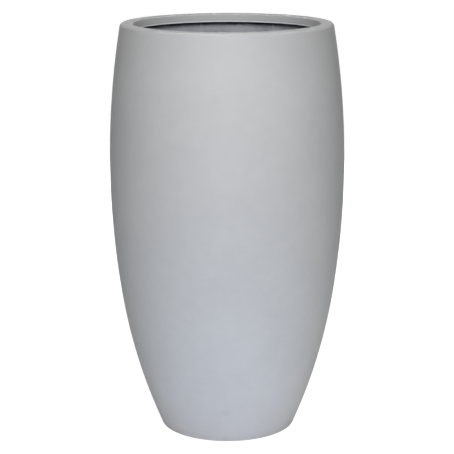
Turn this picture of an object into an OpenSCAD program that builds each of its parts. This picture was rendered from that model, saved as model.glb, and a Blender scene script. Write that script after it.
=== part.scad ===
// Tall egg-shaped floor planter in fibre-reinforced clay.
// Frame: origin on the ground under the middle of the planter, +Z up, millimetres.

/* [Outline] */
// Height from the ground to the top of the rim
height = 900; // [840:10:1000]
// Diameter of the belly, the widest part
belly_d = 512; // [496:2:560]
// Height of the belly above the ground
belly_h = 590; // [540:10:640]
// How far the top of the rim stands in from the belly, before its edge is rounded
rim_inset = 27; // [15:1:40]
// How far the side stands in from the belly at the waist, where the curve of the foot begins
waist_inset = 22.5; // [18:0.5:27]
// Height of the waist above the ground
waist_h = 300; // [260:5:340]
// How far the foot stands in from the belly, before its edge is rounded
foot_inset = 108; // [95:1:125]

/* [Wall] */
// Thickness of the laminated wall
wall_t = 9; // [8:0.5:14]
// Width of the lip at the foot, turned in under the floor
foot_lip_w = 34; // [30:1:50]
// Thickness of the lip at the foot
foot_lip_t = 9; // [7:0.5:14]
// Radius that rounds the outer edge of the foot
foot_edge_r = 3; // [2:0.5:8]

/* [Rim] */
// Width of the top of the rim, wall and collar together
rim_w = 28; // [22:1:36]
// Height of the collar, which is the depth of the lip seen inside the mouth
collar_h = 19; // [14:1:30]
// Radius that rounds the outer edge of the rim
rim_edge_r = 7; // [2:0.5:8]
// Radius that rounds the collar's upper edge at the mouth
mouth_edge_r = 3; // [1:0.5:5]
// Radius that rounds the collar's lower edge at the mouth
drip_edge_r = 1.5; // [0.5:0.5:3]

/* [Floor] */
// Thickness of the floor disc
floor_t = 10; // [8:1:16]
// Gap all round between the floor disc and the wall
floor_gap = 1; // [0.5:0.1:2]
// Radius of the cove that ties the floor to the wall
cove_r = 22; // [12:1:30]
// Thickness of the glass tape at the edges of the cove
tape_t = 2; // [1:0.5:4]
// Diameter of the drain hole
drain_d = 30; // [22:1:40]

/* [Plug] */
// Gap all round between the plug's shank and the drain hole
plug_gap = 0.1; // [0.05:0.05:0.3]
// Length of the shank below the floor disc
plug_tip = 4; // [2:0.5:6]
// Width by which the plug's flange covers the floor round the drain hole
flange_w = 10; // [6:1:16]
// Thickness of the plug's flange
flange_t = 5; // [3:0.5:8]
// Diameter of the plug's neck
neck_d = 12; // [8:1:16]
// Height of the plug's neck between flange and knob
neck_h = 9; // [6:1:14]
// Diameter of the knob that the plug is pulled out by
knob_d = 22; // [18:1:28]
// Height of the knob
knob_h = 10; // [8:1:14]

/* [Pads] */
// Diameter of a pad under the foot
pad_d = 22; // [18:1:24]
// Thickness of a pad, which is the gap under the foot
pad_t = 3; // [2:0.5:5]
// Bevel at the edge of a pad's tread
pad_bevel = 0.6; // [0.2:0.1:1]

/* [Hidden] */

$fn = 200;
side_fn = 720;  // facets in the full circles that the side curve is cut from
over = 1;       // how far a cut runs past the face that it cuts

coat_grey = [0.74, 0.745, 0.75];
laminate_grey = [0.55, 0.56, 0.58];
tape_grey = [0.46, 0.47, 0.49];
plug_black = [0.09, 0.09, 0.095];
pad_black = [0.14, 0.14, 0.14];

belly_r = belly_d / 2;
rim_r = belly_r - rim_inset;
waist_r = belly_r - waist_inset;
foot_r = belly_r - foot_inset;
mouth_r = rim_r - rim_w;
foot_open_r = foot_r - foot_lip_w;

foot_z = pad_t;                     // underside of the foot
floor_z = foot_z + foot_lip_t;      // underside of the floor disc
floor_top_z = floor_z + floor_t;
collar_z = height - collar_h;       // underside of the collar

// The side is three arcs that meet without a kink: one from the belly up to the rim, one
// from the belly down to the waist and one from the waist down to the foot.
function upright_arc(dr, dz) = (dr * dr + dz * dz) / (2 * dr);
upper_arc = upright_arc(rim_inset, height - belly_h);
middle_arc = upright_arc(waist_inset, belly_h - waist_h);
upper_c = [belly_r - upper_arc, belly_h];
middle_c = [belly_r - middle_arc, belly_h];
waist_lean = asin((belly_h - waist_h) / middle_arc);
waist_in = [-cos(waist_lean), sin(waist_lean)];     // from the waist to both its centres
waist_to_foot = [foot_r - waist_r, foot_z - waist_h];
lower_arc = (waist_to_foot * waist_to_foot) / (2 * (waist_to_foot * waist_in));
lower_c = [waist_r, waist_h] + lower_arc * waist_in;

// Distance from the axis, at height z, of an arc with centre c and radius r
function arc_x(c, r, z) = c[0] + sqrt(r * r - pow(z - c[1], 2));
function bearing(from, to) = atan2(to[1] - from[1], to[0] - from[0]);

rim_edge_z = height - rim_edge_r;
rim_edge_c = [arc_x(upper_c, upper_arc - rim_edge_r, rim_edge_z), rim_edge_z];
foot_edge_z = foot_z + foot_edge_r;
foot_edge_c = [arc_x(lower_c, lower_arc - foot_edge_r, foot_edge_z), foot_edge_z];

floor_disc_r = arc_x(lower_c, lower_arc - wall_t, floor_z) - floor_gap;
cove_inset = tape_t + cove_r;
cove_c = [
    arc_x(lower_c, lower_arc - wall_t - cove_inset, floor_top_z + cove_inset),
    floor_top_z + cove_inset
];

shank_r = drain_d / 2 - plug_gap;
shank_chamfer = plug_tip / 2;
flange_r = drain_d / 2 + flange_w;
flange_edge_r = 0.4 * flange_t;
knob_edge_r = 0.4 * knob_h;
knob_z = floor_top_z + flange_t + neck_h;

pad_ring_r = (foot_open_r + foot_edge_c[0]) / 2;    // pads stand midway across the lip
pad_turn = 90;                                      // angle from one pad to the next

// Strip of the half section from height z0 up to height z1
module strip(z0, z1) {
    translate([0, z0]) square([belly_d, z1 - z0]);
}

// Half section of all that lies within the side, inset from its surface
module within_side(inset = 0) {
    waist_z = waist_h + inset * sin(waist_lean);
    intersection() {
        strip(belly_h, height + over);
        translate(upper_c) circle(r = upper_arc - inset, $fn = side_fn);
    }
    intersection() {
        strip(waist_z, belly_h);
        translate(middle_c) circle(r = middle_arc - inset, $fn = side_fn);
    }
    intersection() {
        strip(0, waist_z);
        translate(lower_c) circle(r = lower_arc - inset, $fn = side_fn);
    }
}

// What lies outside an arc, in the corner between two directions from its centre
module corner(centre, r, from, to) {
    mid = (from + to) / 2;
    translate(centre)
        difference() {
            polygon([
                [0, 0],
                2 * r * [cos(from), sin(from)],
                3 * r * [cos(mid), sin(mid)],
                2 * r * [cos(to), sin(to)]
            ]);
            circle(r = r);
        }
}

// Fibre laminate wall with its foot lip turned in under the floor
module wall_shell() {
    color(coat_grey)
        rotate_extrude()
            difference() {
                intersection() {
                    within_side();
                    strip(foot_z, height);
                }
                intersection() {
                    within_side(wall_t);
                    strip(floor_z, height + over);
                }
                translate([0, foot_z - over])
                    square([foot_open_r, foot_lip_t + 2 * over]);
                corner(rim_edge_c, rim_edge_r, bearing(upper_c, rim_edge_c), 90);
                corner(foot_edge_c, foot_edge_r, -90, bearing(lower_c, foot_edge_c));
            }
}

// Solid collar bonded inside the top of the wall, which leans in and holds it down
module rim_collar() {
    color(coat_grey)
        rotate_extrude()
            difference() {
                polygon([
                    [mouth_r, collar_z],
                    [arc_x(upper_c, upper_arc - wall_t, collar_z), collar_z],
                    [arc_x(upper_c, upper_arc - wall_t, height), height],
                    [mouth_r, height]
                ]);
                corner([mouth_r + mouth_edge_r, height - mouth_edge_r], mouth_edge_r, 90, 180);
                corner([mouth_r + drip_edge_r, collar_z + drip_edge_r], drip_edge_r, 180, 270);
            }
}

// Floor disc, lowered through the mouth and bedded on the foot lip
module floor_disc() {
    color(laminate_grey)
        translate([0, 0, floor_z])
            difference() {
                cylinder(h = floor_t, r = floor_disc_r);
                translate([0, 0, -over])
                    cylinder(h = floor_t + 2 * over, d = drain_d);
            }
}

// Cove of filler and glass tape in the corner between floor and wall
module floor_cove() {
    color(tape_grey)
        rotate_extrude()
            intersection() {
                corner(cove_c, cove_r, -90, bearing(lower_c, cove_c));
                polygon([
                    [0, floor_top_z],
                    [arc_x(lower_c, lower_arc - wall_t, floor_top_z), floor_top_z],
                    [arc_x(lower_c, lower_arc - wall_t, cove_c[1]), cove_c[1]],
                    [0, cove_c[1]]
                ]);
            }
}

// Rubber drain plug: its shank fills the drain hole and its flange lies on the floor
module drain_plug() {
    color(plug_black)
        rotate_extrude() {
            translate([0, floor_z - plug_tip])
                polygon([
                    [0, 0],
                    [shank_r - shank_chamfer, 0],
                    [shank_r, shank_chamfer],
                    [shank_r, plug_tip + floor_t],
                    [0, plug_tip + floor_t]
                ]);
            difference() {
                translate([0, floor_top_z]) square([flange_r, flange_t]);
                corner(
                    [flange_r - flange_edge_r, floor_top_z + flange_t - flange_edge_r],
                    flange_edge_r, 0, 90
                );
            }
            translate([0, floor_top_z + flange_t]) square([neck_d / 2, neck_h]);
            difference() {
                translate([0, knob_z]) square([knob_d / 2, knob_h]);
                corner(
                    [knob_d / 2 - knob_edge_r, knob_z + knob_h - knob_edge_r],
                    knob_edge_r, 0, 90
                );
                corner([knob_d / 2 - knob_edge_r, knob_z + knob_edge_r], knob_edge_r, -90, 0);
            }
        }
}

// Rubber pad under the foot, one of a ring of four
module foot_pad(number) {
    color(pad_black)
        rotate((number - 0.5) * pad_turn)
            translate([pad_ring_r, 0, 0]) {
                cylinder(h = pad_bevel, r1 = pad_d / 2 - pad_bevel, r2 = pad_d / 2);
                translate([0, 0, pad_bevel]) cylinder(h = pad_t - pad_bevel, d = pad_d);
            }
}

wall_shell();
rim_collar();
floor_disc();
floor_cove();
drain_plug();
foot_pad(1);  // foot_pad_1
foot_pad(2);  // foot_pad_2
foot_pad(3);  // foot_pad_3
foot_pad(4);  // foot_pad_4
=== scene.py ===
import math

import bpy
from mathutils import Matrix, Vector, noise


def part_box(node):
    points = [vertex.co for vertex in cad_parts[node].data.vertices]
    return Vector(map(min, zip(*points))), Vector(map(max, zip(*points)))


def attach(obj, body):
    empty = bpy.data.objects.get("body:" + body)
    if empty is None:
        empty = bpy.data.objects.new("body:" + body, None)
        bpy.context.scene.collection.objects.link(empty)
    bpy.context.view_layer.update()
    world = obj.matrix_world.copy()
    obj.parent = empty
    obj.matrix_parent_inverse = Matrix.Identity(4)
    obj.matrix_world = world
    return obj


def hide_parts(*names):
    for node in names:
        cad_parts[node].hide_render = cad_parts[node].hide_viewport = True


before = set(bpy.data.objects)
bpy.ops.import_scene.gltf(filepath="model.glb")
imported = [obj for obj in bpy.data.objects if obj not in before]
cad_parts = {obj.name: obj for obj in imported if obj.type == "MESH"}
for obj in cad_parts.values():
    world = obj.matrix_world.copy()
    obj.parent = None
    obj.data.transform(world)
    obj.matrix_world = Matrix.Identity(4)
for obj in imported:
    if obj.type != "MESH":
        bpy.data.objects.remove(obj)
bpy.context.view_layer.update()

mm = 0.001
samePoint = 0.001 * mm      # points closer than this are one point
creaseAngle = 48            # degrees; a flatter bend is shaded smooth
meanRadius = 0.24           # of the pot's side, for noise that is wrapped round it


# Turned meshes. A path is a list of (radius, height, kind) points, run up the outside of
# the piece, in over its top and down its inside, so that the faces look outwards.

def tagged(points, kind):
    return [(r, z, kind) for r, z in points]


def spaced(start, end, count):
    return [start + (end - start) * i / count for i in range(count + 1)]


def linePoints(start, end, count):
    return list(zip(spaced(start[0], end[0], count), spaced(start[1], end[1], count)))


def arcPoints(centre, radius, fromDegrees, toDegrees, count):
    turns = [math.radians(degrees) for degrees in spaced(fromDegrees, toDegrees, count)]
    return [(centre[0] + radius * math.cos(a), centre[1] + radius * math.sin(a)) for a in turns]


def joined(*runs):
    # one path out of several runs, without the doubled points where they meet
    path = []
    for point in (p for run in runs for p in run):
        if not path or math.dist(point[:2], path[-1][:2]) > samePoint:
            path.append(point)
    if math.dist(path[0][:2], path[-1][:2]) <= samePoint:
        path.pop()
    return path


def turned(name, path, around, shape, place=(0.0, 0.0), finishes=None):
    # shape(r, z, angle, kind) moves a point of the section; finishes maps a kind to a material number
    verts, rings = [], []
    for r, z, kind in path:
        if r < samePoint:
            verts.append((place[0], place[1], z))
            rings.append([len(verts) - 1] * around)
            continue
        rings.append(range(len(verts), len(verts) + around))
        for k in range(around):
            a = 2 * math.pi * k / around
            r2, z2 = shape(r, z, a, kind)
            verts.append((place[0] + r2 * math.cos(a), place[1] + r2 * math.sin(a), z2))
    endsOnAxis = path[0][0] < samePoint and path[-1][0] < samePoint
    faces, numbers = [], []
    for i in range(len(path) - 1 if endsOnAxis else len(path)):
        low, high = rings[i], rings[(i + 1) % len(path)]
        for k in range(around):
            m = (k + 1) % around
            corners = [low[k], low[m], high[m], high[k]]
            faces.append(tuple(dict.fromkeys(corners)))     # three corners where a ring is one point
            numbers.append((finishes or {}).get(path[i][2], 0))
    mesh = bpy.data.meshes.new(name)
    mesh.from_pydata(verts, [], faces)
    mesh.polygons.foreach_set("material_index", numbers)
    mesh.shade_smooth()
    mesh.set_sharp_from_angle(angle=math.radians(creaseAngle))
    piece = bpy.data.objects.new(name, mesh)
    bpy.context.scene.collection.objects.link(piece)
    return piece


def bearing(start, end):
    return math.degrees(math.atan2(end[1] - start[1], end[0] - start[0]))


def angleGap(a, b):
    # from b to a by the short way round, in radians
    return (a - b + math.pi) % (2 * math.pi) - math.pi


def smooth(low, high, value):
    t = min(max((value - low) / (high - low), 0.0), 1.0)
    return t * t * (3 - 2 * t)


def noiseAt(x, y, z):
    return noise.noise(Vector((x, y, z)))


def ripple(a, z, scale, seed):
    # smooth noise on a round wall, with no seam; about -0.5 to 0.5
    x = math.cos(a) * meanRadius * scale + seed
    y = math.sin(a) * meanRadius * scale - seed
    return noiseAt(x, y, z * scale)


# The pot's outline: the same three arcs as in the solids

potLow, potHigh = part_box("wall_shell")
pot = {
    "height": potHigh.z,
    "bellyRadius": potHigh.x,
    "footHeight": potLow.z,         # the pads keep the foot off the ground
    "bellyHeight": 590 * mm,
    "waistHeight": 300 * mm,
    "rimInset": 27 * mm,
    "waistInset": 22.5 * mm,
    "footInset": 108 * mm,
    "wall": 9 * mm,
    "rimEdge": 7 * mm,
    "footEdge": 3 * mm,
    "lipEdge": 1.2 * mm,
    "lipWidth": 34 * mm,
    "lipThickness": 9 * mm,
    "rimWidth": 28 * mm,
    "collarHeight": 19 * mm,
    "around": 384,                  # points round the wall and collar
    "unevenness": 0.35 * mm,        # how deep the hand-rubbed outside dips
    "topDip": 0.22 * mm,
    "rimWear": 0.18 * mm,
    "footWear": 0.3 * mm,
    "footChips": 0.25 * mm,
}


def uprightArc(inset, rise):
    return (inset ** 2 + rise ** 2) / (2 * inset)


upperArc = uprightArc(pot["rimInset"], pot["height"] - pot["bellyHeight"])
middleArc = uprightArc(pot["waistInset"], pot["bellyHeight"] - pot["waistHeight"])
upperCentre = (pot["bellyRadius"] - upperArc, pot["bellyHeight"])
middleCentre = (pot["bellyRadius"] - middleArc, pot["bellyHeight"])
waistLean = math.asin((pot["bellyHeight"] - pot["waistHeight"]) / middleArc)
waistIn = (-math.cos(waistLean), math.sin(waistLean))
waistRadius = pot["bellyRadius"] - pot["waistInset"]
footRadius = pot["bellyRadius"] - pot["footInset"]
toFoot = (footRadius - waistRadius, pot["footHeight"] - pot["waistHeight"])
lowerArc = (toFoot[0] ** 2 + toFoot[1] ** 2) / (2 * (toFoot[0] * waistIn[0] + toFoot[1] * waistIn[1]))
lowerCentre = (waistRadius + lowerArc * waistIn[0], pot["waistHeight"] + lowerArc * waistIn[1])


def sideRadius(z, inset=0.0):
    if z >= pot["bellyHeight"]:
        centre, radius = upperCentre, upperArc
    elif z >= pot["waistHeight"] + inset * math.sin(waistLean):
        centre, radius = middleCentre, middleArc
    else:
        centre, radius = lowerCentre, lowerArc
    return centre[0] + math.sqrt((radius - inset) ** 2 - (z - centre[1]) ** 2)


def insideRadius(z):
    return sideRadius(z, pot["wall"])


def sidePoints(start, end, count, inset=0.0):
    return [(sideRadius(z, inset), z) for z in spaced(start, end, count)]


rimTop = pot["height"]
mouthRadius = pot["bellyRadius"] - pot["rimInset"] - pot["rimWidth"]
lipRadius = footRadius - pot["lipWidth"]
floorBottom = pot["footHeight"] + pot["lipThickness"]
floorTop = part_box("floor_disc")[1].z
collarBottom = rimTop - pot["collarHeight"]
rimSeam = insideRadius(rimTop)      # where wall and collar meet on the flat top


# Finishes. Object coordinates are metres in the pot's own frame, so a grain runs on
# from one piece to the next.

def newFinish(name):
    finish = bpy.data.materials.new(name)
    finish.use_nodes = True
    return finish, finish.node_tree, finish.node_tree.nodes["Principled BSDF"]


def put(tree, kind, inputs=None, **settings):
    node = tree.nodes.new(kind)
    for key, value in settings.items():
        setattr(node, key, value)
    for key, value in (inputs or {}).items():
        if isinstance(value, bpy.types.NodeSocket):
            tree.links.new(value, node.inputs[key])
        else:
            node.inputs[key].default_value = value
    return node


def objectCoords(tree):
    return put(tree, "ShaderNodeTexCoord").outputs["Object"]


def parted(tree, vector):
    return put(tree, "ShaderNodeSeparateXYZ", {0: vector}).outputs


def stretched(tree, coords, scale=(1, 1, 1), turn=(0, 0, 0)):
    # the node scales first and turns after
    inputs = {"Vector": coords, "Scale": scale, "Rotation": turn}
    return put(tree, "ShaderNodeMapping", inputs).outputs[0]


def cloudy(tree, coords, scale, detail=2.0, rough=0.5):
    inputs = {"Vector": coords, "Scale": scale, "Detail": detail, "Roughness": rough}
    return put(tree, "ShaderNodeTexNoise", inputs).outputs[0]


def ranged(tree, value, low, high, toLow=0.0, toHigh=1.0):
    # low to high becomes toLow to toHigh, eased at both ends
    inputs = {0: value, 1: low, 2: high, 3: toLow, 4: toHigh}
    return put(tree, "ShaderNodeMapRange", inputs, interpolation_type="SMOOTHSTEP").outputs[0]


def sums(tree, operation, first, second=0.5, third=0.5):
    return put(tree, "ShaderNodeMath", {0: first, 1: second, 2: third}, operation=operation).outputs[0]


def total(tree, first, second):
    return sums(tree, "ADD", first, second)


def product(tree, first, second):
    return sums(tree, "MULTIPLY", first, second)


def gapTo(tree, coords, point):
    return put(tree, "ShaderNodeVectorMath", {0: coords, 1: point}, operation="DISTANCE").outputs["Value"]


def axisGap(tree, coords):
    return gapTo(tree, stretched(tree, coords, (1, 1, 0)), (0, 0, 0))


def tinted(tree, amount, first, second, way="MIX"):
    inputs = {0: amount, 6: first, 7: second}
    return put(tree, "ShaderNodeMix", inputs, data_type="RGBA", blend_type=way).outputs[2]


def laid(tree, under, mask, layer):
    # a layer is a colour and the most that shows of it
    colour, share = layer
    return tinted(tree, product(tree, mask, share), under, colour)


def bumped(tree, height, depth, under=None):
    inputs = {"Height": height, "Strength": 1.0, "Distance": depth}
    if under:
        inputs["Normal"] = under
    return put(tree, "ShaderNodeBump", inputs).outputs[0]


def pinholes(tree, coords, scale, size, share):
    # round pits in a share of the cells
    cells = put(tree, "ShaderNodeTexVoronoi", {"Vector": coords, "Scale": scale, "Randomness": 1.0})
    picked = put(tree, "ShaderNodeSeparateColor", {0: cells.outputs["Color"]}).outputs[0]
    chosen = ranged(tree, picked, 1 - share, 1 - share * 0.8)
    pit = ranged(tree, cells.outputs["Distance"], size * scale, size * scale * 0.35)
    return product(tree, pit, chosen)


coatLook = {
    "pale": (0.468, 0.468, 0.470, 1),
    "deep": (0.436, 0.437, 0.440, 1),
    # layers over them: colour, most that shows of it
    "chalk": ((0.52, 0.52, 0.522, 1), 0.15),
    "paintedTopShade": ((0.36, 0.36, 0.362, 1), 0.22),      # painted shade: the coat is darker towards the top of the pot
    "grooveShade": ((0.385, 0.39, 0.40, 1), 0.6),        # painted shade in a line along the collar's face
    # painted highlight along the collar's lower edge
    "dripEdge": ((0.76, 0.765, 0.775, 1), 0.9),
    "dust": ((0.40, 0.395, 0.385, 1), 0.45),
    # painted shade inside the pinholes
    "pit": ((0.26, 0.262, 0.268, 1), 0.6),
    "handMark": (0.385, 0.388, 0.40, 1),
    # where each hand mark is, its size and how much of it shows
    "handMarks": [((-0.0048, -0.178, 0.080), 13 * mm, 0.55), ((-0.024, -0.2458, 0.769), 17 * mm, 0.3),
                  ((0.171, 0.160, 0.71), 22 * mm, 0.35), ((-0.214, 0.079, 0.36), 20 * mm, 0.3)],
    "chalkDepth": (7 * mm, 1 * mm),                 # below the rim's top: begins, is full
    "topShadeDepth": (110 * mm, 10 * mm),
    "dustHeight": (26 * mm, 4 * mm),                # above the ground: ends, is full
    "grooveShadeFrom": (4.0 * mm, 5.5 * mm),             # above the collar's lower edge
    "grooveShadeTo": (9 * mm, 6 * mm),
    "grooveShadeWander": 3 * mm,
    "edgeHighlightHeight": (3.6 * mm, 2.4 * mm),
    # grains to the metre
    "clouds": 7.0,
    "mottle": 46.0,
    "peel": 240.0,
    "grain": 1300.0,
    "pinholes": 210.0,
    "pinholeSize": 0.45 * mm,
    "pinholeShare": 0.05,
    "peelDepth": 0.05 * mm,
    "grainDepth": 0.012 * mm,
    "rubbingDepth": 0.008 * mm,
    "pinholeDepth": 0.2 * mm,
    "roughness": (0.55, 0.68),
    "gloss": 0.42,
    "sheen": 0.1,                                   # the fine chalky bloom that lightens the edges
    "sheenRoughness": 0.3,
}


def collarShadeAndHighlight(tree, colour, coords, height):
    # painted shade in a line along the collar's face and a painted highlight on its lower edge, inside the
    # mouth only
    inward = product(tree, ranged(tree, axisGap(tree, coords), mouthRadius + 7 * mm, mouthRadius + 5 * mm),
                     ranged(tree, height, collarBottom - 12 * mm, collarBottom - 8 * mm))
    wander = product(tree, cloudy(tree, coords, 18.0, 2.0), coatLook["grooveShadeWander"])
    lineHeight = total(tree, height, wander)
    begins, ends = ([collarBottom + up for up in coatLook[key]] for key in ("grooveShadeFrom", "grooveShadeTo"))
    # painted shade in a line along the collar's face
    grooveShade = product(tree, ranged(tree, lineHeight, *begins), ranged(tree, lineHeight, *ends))
    colour = laid(tree, colour, product(tree, grooveShade, inward), coatLook["grooveShade"])
    # painted highlight on the collar's lower edge
    edge = ranged(tree, height, *(collarBottom + up for up in coatLook["edgeHighlightHeight"]))
    return laid(tree, colour, product(tree, edge, inward), coatLook["dripEdge"])


def handMarked(tree, colour, coords, mottle):
    for point, size, amount in coatLook["handMarks"]:
        spot = ranged(tree, gapTo(tree, coords, point), size, size * 0.25)
        patch = product(tree, spot, ranged(tree, mottle, 0.36, 0.55, 0.35, 1.0))
        colour = laid(tree, colour, patch, (coatLook["handMark"], amount))
    return colour


def coatFinish():
    finish, tree, shader = newFinish("mattClayCoat")
    coords = objectCoords(tree)
    height = parted(tree, coords)[2]
    clouds = cloudy(tree, coords, coatLook["clouds"], 3.0, 0.55)
    mottle = cloudy(tree, coords, coatLook["mottle"], 4.0, 0.6)
    grain = cloudy(tree, coords, coatLook["grain"], 2.0, 0.6)
    rubbing = cloudy(tree, stretched(tree, coords, (30, 30, 900)), 1.0, 2.0, 0.5)
    pits = pinholes(tree, coords, coatLook["pinholes"], coatLook["pinholeSize"], coatLook["pinholeShare"])
    tone = total(tree, product(tree, clouds, 0.42), product(tree, mottle, 0.34))
    tone = total(tree, tone, product(tree, total(tree, grain, rubbing), 0.12))
    colour = tinted(tree, ranged(tree, tone, 0.34, 0.66), coatLook["deep"], coatLook["pale"])
    broken = ranged(tree, cloudy(tree, coords, 160.0, 4.0, 0.65), 0.50, 0.62)
    rimRub = ranged(tree, height, *(rimTop - down for down in coatLook["chalkDepth"]))
    colour = laid(tree, colour, product(tree, rimRub, broken), coatLook["chalk"])
    # painted shade: the coat greys towards the top of the pot
    upperPart = ranged(tree, height, *(rimTop - down for down in coatLook["topShadeDepth"]))
    colour = laid(tree, colour, upperPart, coatLook["paintedTopShade"])
    colour = collarShadeAndHighlight(tree, colour, coords, height)
    footDust = product(tree, ranged(tree, height, *coatLook["dustHeight"]), ranged(tree, mottle, 0.42, 0.6))
    colour = laid(tree, colour, footDust, coatLook["dust"])
    colour = handMarked(tree, colour, coords, mottle)
    # painted shade: the pinholes are coloured darker
    colour = laid(tree, colour, pits, coatLook["pit"])
    tree.links.new(colour, shader.inputs["Base Color"])
    roughness = ranged(tree, total(tree, mottle, grain), 0.75, 1.25, *coatLook["roughness"])
    tree.links.new(roughness, shader.inputs["Roughness"])
    shader.inputs["Specular IOR Level"].default_value = coatLook["gloss"]
    shader.inputs["Sheen Weight"].default_value = coatLook["sheen"]
    shader.inputs["Sheen Roughness"].default_value = coatLook["sheenRoughness"]
    relief = bumped(tree, cloudy(tree, coords, coatLook["peel"], 3.0, 0.55), coatLook["peelDepth"])
    relief = bumped(tree, grain, coatLook["grainDepth"], relief)
    relief = bumped(tree, rubbing, coatLook["rubbingDepth"], relief)
    relief = bumped(tree, sums(tree, "SUBTRACT", 1.0, pits), coatLook["pinholeDepth"], relief)
    tree.links.new(relief, shader.inputs["Normal"])
    return finish


laminateLook = {
    "pale": (0.345, 0.362, 0.392, 1),
    "deep": (0.235, 0.250, 0.278, 1),
    # layers over them: colour, most that shows of it
    "resin": ((0.19, 0.203, 0.228, 1), 0.6),
    "strand": ((0.42, 0.435, 0.46, 1), 0.38),
    "sprayAndShade": ((0.62, 0.637, 0.685, 1), 0.85),
    "collarShadow": ((0.018, 0.019, 0.022, 1), 1.0),       # painted shadow of the collar: a black band on the wall just under it
    "roughness": (0.5, 0.86),
    # strands on the wall: twist, stretch across, stretch along, seed
    "wallTwists": [(-1.5, 205.0, 30.0, 3.0), (0.45, 190.0, 26.0, 11.0), (3.1, 215.0, 70.0, 19.0)],
    # strands on the floor: degrees, stretch across, stretch along
    "floorTurns": [(12, 900.0, 26.0), (74, 820.0, 24.0), (-48, 880.0, 28.0)],
    "floorStretchUp": 60,
    "lumpDepth": 0.7 * mm,
    "strandDepth": 0.22 * mm,
    "brushDepth": 0.18 * mm,
    "gritDepth": 0.06 * mm,
}


def thinLines(tree, coords):
    # lines where the noise passes through its middle
    middle = sums(tree, "SUBTRACT", cloudy(tree, coords, 1.0, 1.0, 0.4), 0.5)
    return ranged(tree, sums(tree, "ABSOLUTE", middle), 0.045, 0.005)


def wallStrands(tree, coords, twist, across, along, seed):
    # the noise is stretched along a helix round the wall, so it has no seam
    x, y, z = parted(tree, coords)
    angle = sums(tree, "MULTIPLY_ADD", z, twist / meanRadius, sums(tree, "ARCTAN2", y, x))
    unrolled = put(tree, "ShaderNodeCombineXYZ", {
        0: product(tree, sums(tree, "COSINE", angle), across),
        1: product(tree, sums(tree, "SINE", angle), across),
        2: sums(tree, "MULTIPLY_ADD", z, along, seed)}).outputs[0]
    return thinLines(tree, unrolled)


def flatStrands(tree, coords, degrees, across, along):
    turnedCoords = stretched(tree, coords, turn=(0, 0, math.radians(degrees)))
    return thinLines(tree, stretched(tree, turnedCoords, (across, along, laminateLook["floorStretchUp"])))


def laminateFinish(name, strandLayer, layers, sprayedAndShaded):
    finish, tree, shader = newFinish(name)
    coords = objectCoords(tree)
    clouds = cloudy(tree, coords, 11.0, 4.0, 0.6)
    lumps = cloudy(tree, coords, 95.0, 4.0, 0.6)
    grit = cloudy(tree, coords, 900.0, 3.0, 0.65)
    strands = 0.0
    for layer in layers:
        strands = sums(tree, "MAXIMUM", strands, strandLayer(tree, coords, *layer))
    brush = cloudy(tree, stretched(tree, coords, (9, 9, 230)), 1.0, 3.0, 0.6)
    tone = ranged(tree, total(tree, clouds, product(tree, lumps, 0.6)), 0.55, 1.05)
    colour = tinted(tree, tone, laminateLook["deep"], laminateLook["pale"])
    rich = ranged(tree, cloudy(tree, coords, 24.0, 3.0, 0.6), 0.56, 0.7)
    colour = laid(tree, colour, rich, laminateLook["resin"])
    colour = laid(tree, colour, strands, laminateLook["strand"])
    if sprayedAndShaded:
        # coat sprayed onto the inside; where it thins out close under the collar it is painted shade
        sprayAndShade = put(tree, "ShaderNodeAttribute", attribute_name="sprayAndShade").outputs["Fac"]
        speckled = sums(tree, "MULTIPLY_ADD", grit, 0.5, sums(tree, "SUBTRACT", sprayAndShade, 0.25))
        colour = laid(tree, colour, ranged(tree, speckled, 0.1, 0.9), laminateLook["sprayAndShade"])
        # painted shadow of the collar, black on the wall just under it
        collarShadow = put(tree, "ShaderNodeAttribute", attribute_name="collarShadow").outputs["Fac"]
        colour = laid(tree, colour, collarShadow, laminateLook["collarShadow"])
    tree.links.new(colour, shader.inputs["Base Color"])
    matt = sums(tree, "SUBTRACT", product(tree, lumps, 1.2), product(tree, rich, 0.35))
    tree.links.new(ranged(tree, matt, 0.1, 0.8, *laminateLook["roughness"]), shader.inputs["Roughness"])
    relief = bumped(tree, lumps, laminateLook["lumpDepth"])
    relief = bumped(tree, strands, laminateLook["strandDepth"], relief)
    relief = bumped(tree, brush, laminateLook["brushDepth"], relief)
    relief = bumped(tree, grit, laminateLook["gritDepth"], relief)
    tree.links.new(relief, shader.inputs["Normal"])
    return finish


coat = coatFinish()
wallLaminate = laminateFinish("handLaidLaminate", wallStrands, laminateLook["wallTwists"], True)
boardLaminate = laminateFinish("floorLaminate", flatStrands, laminateLook["floorTurns"], False)
print("finishes for coat and laminate made")


# The wall: coated outside, hand-laid mat inside

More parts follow.
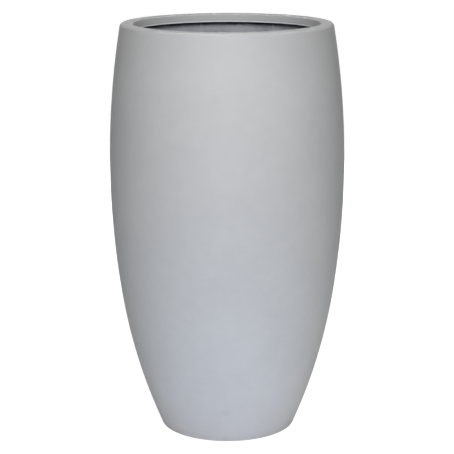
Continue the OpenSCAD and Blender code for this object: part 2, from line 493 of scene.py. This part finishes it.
wallShape = {
    "outerRings": 170,
    "innerRings": 250,
    "matPanels": 5,                 # widths of mat laid side by side round the inside
    "matStart": 0.35,               # where the first one starts, in radians
    "matWander": 0.045,
    "matFray": 0.02,
    "matLap": 42 * mm,              # how far one width laps over the next
    "matStep": 0.9 * mm,
    "crossLapHeight": 0.415,        # height of the lap between lower and upper mat
    "crossLapWander": 12 * mm,
    "crossLapFray": 4 * mm,
    "lumps": 0.8 * mm,
    # runs down the inside: angle in degrees, top, length, half width, height
    "coatRuns": [(104.6, 0.881, 0.050, 2.6 * mm, 0.9 * mm), (83.0, 0.881, 0.024, 3.4 * mm, 0.7 * mm),
                 (62.0, 0.881, 0.094, 3.0 * mm, 1.0 * mm), (141.0, 0.881, 0.065, 2.8 * mm, 0.8 * mm),
                 (196.0, 0.881, 0.120, 3.2 * mm, 1.1 * mm), (251.0, 0.881, 0.048, 2.8 * mm, 0.8 * mm),
                 (318.0, 0.881, 0.083, 3.2 * mm, 1.0 * mm)],
    "resinRuns": [(24.0, 0.61, 0.13, 4.2 * mm, 1.2 * mm), (127.0, 0.55, 0.17, 4.6 * mm, 1.3 * mm),
                  (229.0, 0.66, 0.12, 4.0 * mm, 1.1 * mm), (287.0, 0.49, 0.15, 4.4 * mm, 1.2 * mm),
                  (345.0, 0.36, 0.11, 4.0 * mm, 1.1 * mm)],
    "runWander": 1.5 * mm,
    "dropPlace": 0.94,              # how far down a run its fat drop hangs, as a share of the run
    "dropLength": 0.07,
    # specks of coat that landed on the inside: angle in degrees, height, radius
    "specks": [(90.5, 0.8651, 3.2 * mm), (78.2, 0.8655, 5.0 * mm), (76.5, 0.8625, 3.4 * mm),
               (118.0, 0.858, 3.0 * mm), (60.0, 0.81, 4.5 * mm), (170.0, 0.79, 4.0 * mm),
               (300.0, 0.83, 5.0 * mm)],
    "speckReach": 0.222,            # radius of the inside where the specks are
    "sprayDepth": 75 * mm,          # how far the coat was sprayed in below the collar
    "sprayShadeUnderCollar": (1 * mm, 19 * mm),      # painted shade: the spray fades out towards the collar, where the collar's shade falls
    "collarShadowWidth": (10 * mm, 3.5 * mm),      # of the painted shadow under the collar: where it ends, where it is all black
    "collarShadowRagged": (1.6 * mm, 0.9 * mm),
}
runs = wallShape["coatRuns"] + wallShape["resinRuns"]


def runHeight(a, z, run):
    # profile of one run: rounded across, with a fatter drop at its lower end
    degrees, top, length, halfWidth, rise = run
    if z > top + halfWidth or z < top - length - 2.5 * halfWidth:
        return 0.0
    wander = wallShape["runWander"] * noiseAt(degrees, z * 22, 3.1)
    side = angleGap(a, math.radians(degrees)) * insideRadius(z) - wander
    fall = (top - z) / length
    drop = math.exp(-((fall - wallShape["dropPlace"]) / wallShape["dropLength"]) ** 2)
    width = halfWidth * (0.75 + 0.25 * fall + 0.75 * drop)
    ends = smooth(1.03, 0.97, fall) * smooth(-0.02, 0.05, fall)
    return rise * (0.7 + 0.6 * drop) * math.exp(-(side / width) ** 2) * ends


def matHeight(a, z):
    panel, lap = 2 * math.pi / wallShape["matPanels"], wallShape["matLap"]
    upright = 0.0
    for i in range(wallShape["matPanels"]):
        edge = i * panel + wallShape["matStart"] + wallShape["matWander"] * noiseAt(i * 7.3, z * 9, 1.7)
        edge += wallShape["matFray"] * noiseAt(i * 3.1, z * 55, 4.2)
        over = angleGap(a, edge) * insideRadius(z)
        upright = max(upright, smooth(-1.5 * mm, 1.5 * mm, over) * smooth(lap + 5 * mm, lap - 5 * mm, over))
    level = wallShape["crossLapHeight"] + wallShape["crossLapWander"] * ripple(a, 0, 14, 5.5)
    level += wallShape["crossLapFray"] * ripple(a, 0, 60, 8.5)
    cross = smooth(-2.5 * mm, 2.5 * mm, z - level) * smooth(lap, lap - 9 * mm, z - level)
    return wallShape["matStep"] * (upright + cross)


def topDip(r, a):
    # shallow dips in the flat top, the same for wall and collar
    return pot["topDip"] * max(0.5 + ripple(a, r, 26, 9.0), 0.0)


def wallPoint(r, z, a, kind):
    if kind == "side":
        ends = smooth(0.0, 40 * mm, z) * smooth(0.0, 25 * mm, rimTop - z)
        dip = pot["unevenness"] * (0.5 + 0.55 * ripple(a, z, 9, 2.0) + 0.2 * ripple(a, z, 31, 6.0))
        return r - max(dip, 0.0) * (0.25 + 0.75 * ends), z
    if kind == "rim":
        wear = pot["rimWear"] * max(ripple(a, z, 60, 12.0), 0.0)
        return r - wear, z - topDip(r, a) * smooth(rimTop - 3 * mm, rimTop, z)
    if kind == "foot":
        wear = pot["footWear"] * max(ripple(a, z, 45, 15.0), 0.0)
        return r - wear, z + pot["footChips"] * max(ripple(a, r, 70, 18.0), 0.0)
    if kind == "inside":
        away = smooth(floorTop, floorTop + 45 * mm, z)
        lumps = wallShape["lumps"] * (0.45 + 0.6 * ripple(a, z, 26, 21.0) + 0.35 * ripple(a, z, 85, 24.0))
        extra = sum(runHeight(a, z, run) for run in runs)
        return r - away * (max(lumps, 0.0) + matHeight(a, z) + extra), z
    return r, z


def sprayAndShadeAt(a, z):
    # how much of the coat lies on the inside: overspray under the collar, runs and specks; close under the
    # collar it thins out as painted shade
    below = collarBottom - z
    faded = below / wallShape["sprayDepth"] + 0.55 * ripple(a, z, 16, 30.0) + 0.25 * ripple(a, z, 70, 33.0)
    # painted shade: the mist fades out close under the collar
    mistAndShade = (1 - smooth(0, 1, faded)) * smooth(*wallShape["sprayShadeUnderCollar"], below)
    run = max(smooth(0.1, 0.5, runHeight(a, z, each) / each[4]) for each in wallShape["coatRuns"])
    speck = 0.0
    for degrees, height, radius in wallShape["specks"]:
        aside = angleGap(a, math.radians(degrees)) * wallShape["speckReach"]
        speck = max(speck, smooth(1.0, 0.4, math.hypot(aside, z - height) / radius))
    return max(1.05 * mistAndShade, 1.15 * run, 1.3 * speck)


def collarShadowAt(a, z):
    # painted shadow of the collar, with a ragged lower edge
    coarse, fine = wallShape["collarShadowRagged"]
    ragged = coarse * ripple(a, 0, 30, 36.0) + fine * ripple(a, 0, 150, 39.0)
    return smooth(*wallShape["collarShadowWidth"], collarBottom - z + ragged)


def writtenOn(piece, name, valueAt):
    # a value at each point of the mesh, for the finish to read
    values = [valueAt(math.atan2(point.co.y, point.co.x), point.co.z) for point in piece.data.vertices]
    piece.data.attributes.new(name, "FLOAT", "POINT").data.foreach_set("value", values)


rimEdge, footEdge, lipEdge = pot["rimEdge"], pot["footEdge"], pot["lipEdge"]
footHeight = pot["footHeight"]
rimEdgeCentre = (sideRadius(rimTop - rimEdge, rimEdge), rimTop - rimEdge)
footEdgeCentre = (sideRadius(footHeight + footEdge, footEdge), footHeight + footEdge)
rimAngle = bearing(upperCentre, rimEdgeCentre)
footAngle = bearing(lowerCentre, footEdgeCentre)
sideBottom = footEdgeCentre[1] + footEdge * math.sin(math.radians(footAngle))
sideTop = rimEdgeCentre[1] + rimEdge * math.sin(math.radians(rimAngle))
fineTop = collarBottom + 4 * mm         # from here down to fineBottom the inside has its many rings
fineBottom = floorTop + 8 * mm

wall = turned("potWall", joined(
    tagged(arcPoints((lipRadius + lipEdge, footHeight + lipEdge), lipEdge, 180, 270, 4), "lip"),
    tagged(linePoints((lipRadius + lipEdge, footHeight), (footEdgeCentre[0], footHeight), 10), "lip"),
    tagged(arcPoints(footEdgeCentre, footEdge, -90, footAngle, 12), "foot"),
    tagged(sidePoints(sideBottom, sideTop, wallShape["outerRings"]), "side"),
    tagged(arcPoints(rimEdgeCentre, rimEdge, rimAngle, 90, 10), "rim"),
    tagged(linePoints((rimEdgeCentre[0], rimTop), (rimSeam, rimTop), 2), "rim"),
    tagged(sidePoints(rimTop, fineTop, 3, pot["wall"])[1:], "inside"),
    tagged(sidePoints(fineTop, fineBottom, wallShape["innerRings"], pot["wall"]), "inside"),
    tagged(sidePoints(fineBottom, floorBottom, 3, pot["wall"]), "inside"),
    tagged(linePoints((insideRadius(floorBottom), floorBottom), (lipRadius, floorBottom), 3), "lipTop"),
), pot["around"], wallPoint, finishes={"inside": 1, "lipTop": 1, "lip": 2})
for finish in (coat, wallLaminate, boardLaminate):
    wall.data.materials.append(finish)
writtenOn(wall, "sprayAndShade", sprayAndShadeAt)
writtenOn(wall, "collarShadow", collarShadowAt)
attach(wall, "planter")
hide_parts("wall_shell")
print("wall made:", len(wall.data.vertices), "points")


# The collar inside the top of the wall

collarShape = {
    "mouthEdge": 3 * mm,
    "dripEdge": 1.5 * mm,
    "waviness": 0.3 * mm,
    "dripNicks": 0.35 * mm,
    "underside": 0.5 * mm,          # how uneven the hidden face below is
}
mouthEdge, dripEdge = collarShape["mouthEdge"], collarShape["dripEdge"]


def collarPoint(r, z, a, kind):
    wave = collarShape["waviness"] * (0.5 + 0.7 * ripple(a, z, 22, 40.0))
    if kind == "top":
        return r, z - topDip(r, a)
    if kind == "face":
        return r + wave, z
    if kind == "edge":
        return r + wave, z - topDip(r, a) * smooth(mouthRadius, mouthRadius + mouthEdge, r)
    if kind == "drip":
        return r + wave, z + collarShape["dripNicks"] * max(ripple(a, 0, 55, 43.0) + 0.2, 0.0)
    if kind == "under":
        return r, z + collarShape["underside"] * (0.5 + ripple(a, r, 48, 46.0))
    return r, z


seamBack = insideRadius(collarBottom)
collar = turned("rimCollar", joined(
    tagged(linePoints((mouthRadius + dripEdge, collarBottom), (seamBack, collarBottom), 8), "under"),
    tagged(linePoints((seamBack, collarBottom), (rimSeam, rimTop), 2)[1:2], "back"),
    tagged(linePoints((rimSeam, rimTop), (mouthRadius + mouthEdge, rimTop), 6), "top"),
    tagged(arcPoints((mouthRadius + mouthEdge, rimTop - mouthEdge), mouthEdge, 90, 180, 9), "edge"),
    tagged(linePoints((mouthRadius, rimTop - mouthEdge), (mouthRadius, collarBottom + dripEdge), 8), "face"),
    tagged(arcPoints((mouthRadius + dripEdge, collarBottom + dripEdge), dripEdge, 180, 270, 6), "drip"),
), pot["around"], collarPoint, finishes={"under": 1})
for finish in (coat, wallLaminate):
    collar.data.materials.append(finish)
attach(collar, "planter")
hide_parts("rim_collar")
print("collar made")


# The floor disc, with its drilled drain hole

floorShape = {
    "around": 240,
    "rings": 54,
    "holeRadius": 15 * mm,
    "holeBevel": 0.7 * mm,
    "radius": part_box("floor_disc")[1].x,
    "seatRadius": 28 * mm,          # round the hole the disc is left true for the plug
    "seatDip": 0.12 * mm,
    "topDips": 0.75 * mm,
    "bottomDips": 0.35 * mm,
    "chips": 0.9 * mm,              # broken out round the hole by the drill
    "drillMarks": 0.06 * mm,
}


def floorPoint(r, z, a, kind):
    x, y = r * math.cos(a), r * math.sin(a)
    rough = noiseAt(x * 34, y * 34, 2.0) + 0.5 * noiseAt(x * 110, y * 110, 7.0)
    if kind == "top":
        free = smooth(floorShape["seatRadius"] - 2 * mm, floorShape["seatRadius"] + 14 * mm, r)
        seat = floorShape["seatDip"] * (1 + rough) * (1 - free)
        return r, z - seat - free * floorShape["topDips"] * max(0.5 - rough, 0.0)
    if kind == "bottom":
        chips = floorShape["chips"] * max(noiseAt(x * 260, y * 260, 9.0), 0.0) * smooth(19 * mm, 15 * mm, r)
        return r + chips, z + chips + floorShape["bottomDips"] * max(0.5 + rough, 0.0)
    if kind == "hole":
        return r + floorShape["drillMarks"] * (1 + noiseAt(x * 400, y * 400, z * 900)), z
    return r, z


hole, bevel = floorShape["holeRadius"], floorShape["holeBevel"]
boardRadius, rings = floorShape["radius"], floorShape["rings"]
board = turned("floorBoard", joined(
    tagged(linePoints((hole + bevel, floorBottom), (boardRadius, floorBottom), rings), "bottom"),
    tagged(linePoints((boardRadius, floorBottom), (boardRadius, floorTop), 2), "edge"),
    tagged(linePoints((boardRadius, floorTop), (hole + bevel, floorTop), rings), "top"),
    tagged(linePoints((hole, floorTop - bevel), (hole, floorBottom + bevel), 8), "hole"),
), floorShape["around"], floorPoint)
board.data.materials.append(boardLaminate)
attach(board, "planter")
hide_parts("floor_disc")
print("floor made")


# The cove: filler under glass tape, in the corner between floor and wall

tapeLook = {
    "pale": (0.315, 0.332, 0.36, 1),
    "deep": (0.19, 0.203, 0.228, 1),
    "pitch": 2.4 * mm,              # from thread to thread round the pot
    "climbPitch": 1.25,             # of the threads that run round it, as a share of that
    "countedAt": 128 * mm,          # radius at which the threads are that far apart
    "threadWander": 2.2,
    "threadDepth": 0.45 * mm,
    "soakedDepth": 0.6 * mm,
    "roughness": (0.42, 0.8),
}


def tapeFinish():
    finish, tree, shader = newFinish("glassTape")
    coords = objectCoords(tree)
    x, y, z = parted(tree, coords)
    wander = product(tree, cloudy(tree, coords, 45.0, 2.0, 0.5), tapeLook["threadWander"])
    threads = float(round(2 * math.pi * tapeLook["countedAt"] / tapeLook["pitch"]))
    around = sums(tree, "SINE", sums(tree, "MULTIPLY_ADD", sums(tree, "ARCTAN2", y, x), threads, wander))
    radiansPerMetre = 2 * math.pi / (tapeLook["climbPitch"] * tapeLook["pitch"])
    climb = product(tree, total(tree, axisGap(tree, coords), z), radiansPerMetre)
    upward = sums(tree, "SINE", total(tree, climb, wander))
    weave = sums(tree, "MULTIPLY_ADD", product(tree, around, upward), 0.5, 0.5)
    soaked = cloudy(tree, coords, 60.0, 4.0, 0.6)
    tone = ranged(tree, sums(tree, "MULTIPLY_ADD", weave, 0.35, soaked), 0.4, 0.95)
    tree.links.new(tinted(tree, tone, tapeLook["deep"], tapeLook["pale"]), shader.inputs["Base Color"])
    tree.links.new(ranged(tree, soaked, 0.35, 0.65, *tapeLook["roughness"]), shader.inputs["Roughness"])
    relief = bumped(tree, weave, tapeLook["threadDepth"])
    relief = bumped(tree, soaked, tapeLook["soakedDepth"], relief)
    tree.links.new(relief, shader.inputs["Normal"])
    return finish


coveShape = {
    "around": 360,
    "radius": 22 * mm,
    "thickness": 2 * mm,
    "toeBedding": 0.4 * mm,         # how deep the tape's lower edge lies in the floor
    "backBedding": 0.3 * mm,        # and its back in the wall
    "laps": [18.0, 97.0, 171.0, 244.0, 318.0],      # degrees at which a new length of tape starts
    "lapWidth": 34 * mm,
    "lapRadius": 130 * mm,          # where that width is measured
    "lapHeight": 0.8 * mm,
    # how far the tape's edges wander, coarse and fine
    "toeWander": (2.6 * mm, 0.9 * mm),
    "lipWander": (3.0 * mm, 1.0 * mm),
    "lumps": 0.5 * mm,
}
coveInset = coveShape["thickness"] + coveShape["radius"]
coveCentre = (sideRadius(floorTop + coveInset, pot["wall"] + coveInset), floorTop + coveInset)
coveTopAngle = bearing(lowerCentre, coveCentre)


def coveLap(a):
    # how much a second layer of tape adds
    width, doubled = coveShape["lapWidth"], 0.0
    for start in coveShape["laps"]:
        over = angleGap(a, math.radians(start)) * coveShape["lapRadius"]
        doubled = max(doubled, smooth(-1 * mm, 1 * mm, over) * smooth(width, width - 4 * mm, over))
    return coveShape["lapHeight"] * doubled


def covePoint(r, z, a, kind):
    coarse, fine = coveShape["toeWander"]
    toe = coarse * ripple(a, 0, 42, 60.0) + fine * ripple(a, 0, 180, 63.0)
    coarse, fine = coveShape["lipWander"]
    lift = coarse * ripple(a, 0, 34, 66.0) + fine * ripple(a, 0, 170, 69.0)
    if kind == "toe":
        return r + toe - coveLap(a), z
    if kind == "toeTop":
        return r + toe - coveLap(a), z + coveLap(a)
    if kind == "hollow":
        out = coveLap(a) + coveShape["lumps"] * (0.4 + ripple(a, z, 60, 72.0))
        acrossGap, upGap = r - coveCentre[0], z - coveCentre[1]
        sway, towards = acrossGap / coveShape["radius"], math.hypot(acrossGap, upGap)
        return (r - acrossGap / towards * out + toe * (1 - smooth(0, 0.6, sway)) * 0.6,
                z - upGap / towards * out + lift * smooth(0.8, 1.0, sway) * 0.6)
    if kind == "lip":
        return r, z + lift
    return r, z


toeBottom = floorTop - coveShape["toeBedding"]
backInset = pot["wall"] - coveShape["backBedding"]
lipHeight = coveCentre[1] + coveShape["radius"] * math.sin(math.radians(coveTopAngle))
lipOut = insideRadius(lipHeight + 1.5 * mm)
cove = turned("floorCove", joined(
    tagged([(coveCentre[0] - 6 * mm, toeBottom), (insideRadius(toeBottom), toeBottom)], "toe"),
    tagged(sidePoints(floorTop + 4 * mm, lipHeight - 4 * mm, 3, backInset), "back"),
    tagged([(lipOut + 0.2 * mm, lipHeight + 3.5 * mm), (lipOut - 0.9 * mm, lipHeight + 3.0 * mm)], "lip"),
    tagged(arcPoints(coveCentre, coveShape["radius"], coveTopAngle, -90, 22), "hollow"),
    tagged([(coveCentre[0] - 4.5 * mm, floorTop + 1.7 * mm)], "toeTop"),
), coveShape["around"], covePoint)
cove.data.materials.append(tapeFinish())
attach(cove, "planter")
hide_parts("floor_cove")
print("cove made")


# The drain plug: moulded rubber with sealing ribs, a dished flange and a knob to pull

rubberLook = {
    "black": (0.014, 0.014, 0.015, 1),
    "grey": (0.032, 0.032, 0.034, 1),
    "dust": (0.12, 0.117, 0.11, 1),
    "roughness": (0.62, 0.82),
    "gritDepth": 0.05 * mm,
    "dimpleDepth": 0.12 * mm,
}


def rubberFinish(name, dusty):
    finish, tree, shader = newFinish(name)
    coords = objectCoords(tree)
    patches = cloudy(tree, coords, 70.0, 4.0, 0.6)
    grit = cloudy(tree, coords, 1500.0, 3.0, 0.6)
    colour = tinted(tree, ranged(tree, patches, 0.35, 0.68), rubberLook["black"], rubberLook["grey"])
    upward = parted(tree, put(tree, "ShaderNodeNewGeometry").outputs["Normal"])[2]
    patchy = ranged(tree, total(tree, patches, grit), 0.85, 1.2)
    settled = product(tree, ranged(tree, upward, 0.2, 1.0), patchy)
    colour = laid(tree, colour, settled, (rubberLook["dust"], dusty))
    tree.links.new(colour, shader.inputs["Base Color"])
    tree.links.new(ranged(tree, patches, 0.3, 0.7, *rubberLook["roughness"]), shader.inputs["Roughness"])
    relief = bumped(tree, grit, rubberLook["gritDepth"])
    relief = bumped(tree, cloudy(tree, coords, 260.0, 2.0, 0.5), rubberLook["dimpleDepth"], relief)
    tree.links.new(relief, shader.inputs["Normal"])
    return finish


plugLow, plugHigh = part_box("drain_plug")
plugShape = {
    "around": 160,
    "dusty": 0.2,
    "shank": 14.9 * mm,
    "groove": 0.8 * mm,             # depth between the sealing ribs
    "ribs": 4,
    "ribSteps": 10,                 # points from one rib to the next
    "tipEdge": 0.8 * mm,
    "flange": plugHigh.x,
    "flangeThickness": 5 * mm,
    "flangeEdge": 2 * mm,
    "flangeUneven": 0.08 * mm,
    "neck": 6 * mm,
    "neckHeight": 9 * mm,
    "fillet": 2.2 * mm,             # between flange and neck
    "flare": 1.4 * mm,              # between neck and knob
    "knob": 11 * mm,
    "knobHeight": 10 * mm,
    "knobEdge": 4 * mm,
    "grips": 14,                    # scallops round the knob
    "gripDepth": 0.55 * mm,
}
tipBottom = plugLow.z
flangeTop = floorTop + plugShape["flangeThickness"]
knobBottom = flangeTop + plugShape["neckHeight"]
knobTop = knobBottom + plugShape["knobHeight"]


def plugPoint(r, z, a, kind):
    if kind == "grip":
        height = (z - knobBottom) / plugShape["knobHeight"]
        scallop = (0.5 + 0.5 * math.cos(a * plugShape["grips"])) ** 2
        return r - plugShape["gripDepth"] * scallop * smooth(0.0, 0.25, height) * smooth(1.0, 0.75, height), z
    if kind == "flange":
        return r - plugShape["flangeUneven"] * (1 + noiseAt(math.cos(a) * 9, math.sin(a) * 9, 1.0)), z
    return r, z


def ribPoints():
    pitch = (floorTop - tipBottom - 2.5 * mm) / plugShape["ribs"]
    points = []
    for step in range(plugShape["ribs"] * plugShape["ribSteps"]):
        t = step / plugShape["ribSteps"]
        depth = plugShape["groove"] * (0.5 - 0.5 * math.cos(2 * math.pi * t)) ** 0.7
        points.append((plugShape["shank"] - depth, tipBottom + 2 * mm + t * pitch))
    return points


shank, flange, neck, knob = (plugShape[key] for key in ("shank", "flange", "neck", "knob"))
tipEdge, flangeEdge, edge = (plugShape[key] for key in ("tipEdge", "flangeEdge", "knobEdge"))
fillet, flare = plugShape["fillet"], plugShape["flare"]
flangeBottom = floorTop + 0.05 * mm
parting = knobBottom + edge + 1 * mm        # the mould's parting line, a thin bead round the knob
plug = turned("drainPlug", joined(
    tagged([(0.0, tipBottom + 0.9 * mm)], "tip"),
    tagged([(4 * mm, tipBottom + 0.8 * mm), (9 * mm, tipBottom + 0.5 * mm)], "tip"),
    tagged(arcPoints((12.2 * mm, tipBottom + tipEdge), tipEdge, -110, -30, 4), "tip"),
    tagged(ribPoints(), "rib"),
    tagged([(shank, floorTop - 0.5 * mm)], "rib"),
    tagged(arcPoints((shank + 0.5 * mm, floorTop - 0.5 * mm), 0.5 * mm, 180, 90, 4), "rib"),
    tagged(linePoints((shank + 1 * mm, flangeBottom), (flange - 2 * mm, flangeBottom), 5), "flange"),
    tagged(arcPoints((flange - 0.7 * mm, flangeBottom + 0.7 * mm), 0.7 * mm, -90, 0, 4), "flange"),
    tagged(arcPoints((flange - flangeEdge, flangeTop - flangeEdge), flangeEdge, 0, 100, 8), "flange"),
    tagged(arcPoints((flange - 4.4 * mm, flangeTop + 0.6 * mm), 1.6 * mm, -60, -110, 5), "dish"),
    tagged(linePoints((flange - 6.5 * mm, flangeTop - 1.2 * mm),
                      (neck + fillet + 1 * mm, flangeTop - 0.6 * mm), 6), "dish"),
    tagged(arcPoints((neck + fillet, flangeTop - 0.5 * mm + fillet), fillet, -90, -180, 6), "neck"),
    tagged(linePoints((neck, flangeTop + 3 * mm), (neck, knobBottom - 1.6 * mm), 4), "neck"),
    tagged(arcPoints((neck + flare, knobBottom - 1 * mm), flare, 180, 100, 5), "neck"),
    tagged(arcPoints((knob - edge, knobBottom + edge), edge, -90, -2, 10), "grip"),
    tagged([(knob - 0.12 * mm, parting - 0.4 * mm), (knob, parting - 0.2 * mm),
            (knob, parting + 0.2 * mm), (knob - 0.12 * mm, parting + 0.4 * mm)], "parting"),
    tagged(arcPoints((knob - edge, knobTop - edge), edge, 2, 90, 10), "grip"),
    tagged([(knob - edge - 1 * mm, knobTop - 0.1 * mm), (4.5 * mm, knobTop - 0.7 * mm),
            (2.6 * mm, knobTop - 0.9 * mm), (1.5 * mm, knobTop - 0.9 * mm),
            (1.2 * mm, knobTop - 0.5 * mm), (0.9 * mm, knobTop - 0.35 * mm)], "knobTop"),
    tagged([(0.0, knobTop - 0.3 * mm)], "knobTop"),
), plugShape["around"], plugPoint)
plug.data.materials.append(rubberFinish("blackPlugRubber", plugShape["dusty"]))
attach(plug, "plug")
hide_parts("drain_plug")
print("drain plug made")


# The four pads under the foot, with ribbed treads

padShape = {
    "around": 96,
    "dusty": 0.25,
    "radius": 11 * mm,
    "firstRib": 1.7 * mm,           # radius of the innermost ring of the tread
    "ribs": 4,
    "ribPitch": 2.2 * mm,
    "ribDepth": 0.7 * mm,
    "ribTop": 0.4 * mm,             # half the width of a rib where it stands on the ground
    "ribFoot": 0.85 * mm,           # and where it grows out of the pad
    "bevel": 0.6 * mm,
    "glueBead": 0.5 * mm,
}


def treadPoints():
    outer, depth, ribTop = padShape["radius"], padShape["ribDepth"], padShape["ribTop"]
    side = [(ribTop, 0.0), (ribTop + 0.15 * mm, 0.12 * mm), (padShape["ribFoot"], depth)]
    points = [(0.0, depth)]
    for rib in range(padShape["ribs"]):
        middle = padShape["firstRib"] + rib * padShape["ribPitch"]
        points += [(middle - aside, height) for aside, height in reversed(side)]
        points += [(middle + aside, height) for aside, height in side]
    return points + [(outer - 1.2 * mm, depth), (outer - 1.0 * mm, 0.1 * mm)]


def padPoint(r, z, a, kind, seed):
    if kind == "glue":
        bead = padShape["glueBead"] * max(0.4 + noiseAt(math.cos(a) * 3 + seed, math.sin(a) * 3, 0.0), 0.0)
        return r + bead, z
    return r, z


def padPath(top):
    outer, edge = padShape["radius"], padShape["bevel"]
    return joined(
        tagged(treadPoints(), "tread"),
        tagged(linePoints((outer - edge, 0.0), (outer, edge), 2), "side"),
        tagged(linePoints((outer, edge + 0.2 * mm), (outer, top - 0.9 * mm), 3), "side"),
        tagged([(outer + 0.02 * mm, top - 0.5 * mm), (outer + 0.1 * mm, top - 0.1 * mm)], "glue"),
        tagged([(outer - 0.5 * mm, top), (0.5 * outer, top), (0.0, top)], "top"))


padRubber = rubberFinish("darkPadRubber", padShape["dusty"])
for number in range(1, 5):
    low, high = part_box("foot_pad_%d" % number)
    pad = turned("footPad%d" % number, padPath(high.z), padShape["around"],
                 lambda r, z, a, kind: padPoint(r, z, a, kind, number * 5.0),
                 place=((low.x + high.x) / 2, (low.y + high.y) / 2))
    pad.data.materials.append(padRubber)
    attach(pad, "planter")
    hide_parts("foot_pad_%d" % number)
print("foot pads made")


# Studio: camera as in the photograph, pale floor and soft light

camera = {
    "distance": 3.2994,
    "height": 1.2190,
    "aside": -0.00069,
    "pitch": 13.134,                # degrees below level
    "roll": -0.1350,
    "sensorWidth": 36,              # in millimetres, as Blender takes it
    "focalPixels": 1531.9,
    "framePixels": 454,
}
cameraData = bpy.data.cameras.new("photoCamera")
cameraData.sensor_width = camera["sensorWidth"]
cameraData.lens = camera["focalPixels"] * camera["sensorWidth"] / camera["framePixels"]
photoCamera = bpy.data.objects.new("photoCamera", cameraData)
photoCamera.matrix_world = (Matrix.Translation((camera["aside"], -camera["distance"], camera["height"]))
                            @ Matrix.Rotation(math.radians(90 - camera["pitch"]), 4, "X")
                            @ Matrix.Rotation(math.radians(camera["roll"]), 4, "Z"))
bpy.context.scene.collection.objects.link(photoCamera)
bpy.context.scene.camera = photoCamera

studio = {
    "floorHalf": 45.0,
    "floorShown": 0.985,            # how bright the paper looks where no light falls
    "floorLit": (0.2, 0.2, 0.2, 1),         # how much light and shade the camera sees on it
    "floorShade": (0.7, 0.7, 0.7, 1),
    "floorRoughness": 0.95,
    # light that the paper gives back to the pot: centre, reach, colour
    "pools": [((0, 0, 0), 1.2, (0.172, 0.102, 0.074)),
              ((0, -0.7, 0), 0.9, (0.528, 0.774, 1.194)),
              ((0.7, -0.2, 0), 0.8, (0.815, 0.845, 0.737)),
              ((-0.7, -0.2, 0), 0.8, (0.304, 0.364, 0.304))],
    "air": 0.12,
    "airShown": 1.0,
    # name: place, aimed at, width, height, watts
    "boxes": {
        "tallBox": ((0.0, -3.2, 2.2), (0, 0, 0.6), 0.8, 1.4, 75.3),
        "topBox": ((0.0, -1.3, 3.0), (0, 0, 0.7), 1.0, 1.0, 29.4),
        "backBox": ((0.0, 3.2, 0.6), (0, 0, 0.5), 1.6, 0.5, 60),
    },
    # lamps that shine through the mouth onto the inside and miss the rim: place, aimed at, degrees, watts
    "spots": {
        "overheadSpot": ((0, 0, 4.2), (0, 0, 0), 6.6, 370),
        "rearSpot": ((0, 2.9, 3.8), (0, -0.02, 0.88), 3.6, 260),
        "leftSpot": ((-2.9, 0.3, 3.8), (0.02, 0, 0.88), 3.6, 260),
        "rightSpot": ((2.9, 0.3, 3.8), (-0.02, 0, 0.88), 3.6, 260),
    },
    "spotBlend": 0.6,
    "spotLampRadius": 0.1,
}
white = (1, 1, 1, 1)


def seenAs(tree, real, shown):
    # the first is what lights the pot, the second what the camera sees in its place
    seen = put(tree, "ShaderNodeLightPath").outputs["Is Camera Ray"]
    return put(tree, "ShaderNodeMixShader", {0: seen, 1: real.outputs[0], 2: shown.outputs[0]}).outputs[0]


def paperFinish():
    finish, tree, shader = newFinish("paleFloorPaper")
    shader.inputs["Base Color"].default_value = studio["floorShade"]
    shader.inputs["Roughness"].default_value = studio["floorRoughness"]
    shader.inputs["Specular IOR Level"].default_value = 0.0
    shader.inputs["Emission Strength"].default_value = 1.0
    coords = objectCoords(tree)
    glow = (0, 0, 0, 1)
    for centre, reach, colour in studio["pools"]:
        glow = tinted(tree, ranged(tree, gapTo(tree, coords, centre), reach, 0.0), glow, (*colour, 1), "ADD")
    tree.links.new(glow, shader.inputs["Emission Color"])
    lit = put(tree, "ShaderNodeBsdfDiffuse", {"Color": studio["floorLit"]})
    bright = put(tree, "ShaderNodeEmission", {"Color": white, "Strength": studio["floorShown"]})
    shown = put(tree, "ShaderNodeAddShader", {0: lit.outputs[0], 1: bright.outputs[0]})
    tree.links.new(seenAs(tree, shader, shown), tree.nodes["Material Output"].inputs["Surface"])
    return finish


def hungLight(name, kind, place, aim, watts):
    data = bpy.data.lights.new(name, kind)
    data.energy = watts
    light = bpy.data.objects.new(name, data)
    light.location = place
    light.rotation_mode = "QUATERNION"
    light.rotation_quaternion = (Vector(aim) - Vector(place)).to_track_quat("-Z", "Y")
    light.visible_camera = False
    bpy.context.scene.collection.objects.link(light)
    return data


half = studio["floorHalf"]
floorCorners = [(-half, -half, 0), (half, -half, 0), (half, half, 0), (-half, half, 0)]
floorMesh = bpy.data.meshes.new("studioFloor")
floorMesh.from_pydata(floorCorners, [], [(0, 1, 2, 3)])
floorMesh.materials.append(paperFinish())
studioFloor = bpy.data.objects.new("studioFloor", floorMesh)
studioFloor.visible_glossy = False
bpy.context.scene.collection.objects.link(studioFloor)

world = bpy.data.worlds.new("studioAir")
bpy.context.scene.world = world
world.use_nodes = True
airTree = world.node_tree
air = airTree.nodes["Background"]
air.inputs["Color"].default_value = white
air.inputs["Strength"].default_value = studio["air"]
backdrop = put(airTree, "ShaderNodeBackground", {"Color": white, "Strength": studio["airShown"]})
airTree.links.new(seenAs(airTree, air, backdrop), airTree.nodes["World Output"].inputs["Surface"])

for name, (place, aim, width, tall, watts) in studio["boxes"].items():
    box = hungLight(name, "AREA", place, aim, watts)
    box.shape = "RECTANGLE"
    box.size, box.size_y = width, tall
for name, (place, aim, degrees, watts) in studio["spots"].items():
    spot = hungLight(name, "SPOT", place, aim, watts)
    spot.spot_size = math.radians(degrees)
    spot.spot_blend = studio["spotBlend"]
    spot.shadow_soft_size = studio["spotLampRadius"]

bpy.context.scene.view_settings.view_transform = "Standard"
print("studio lit")
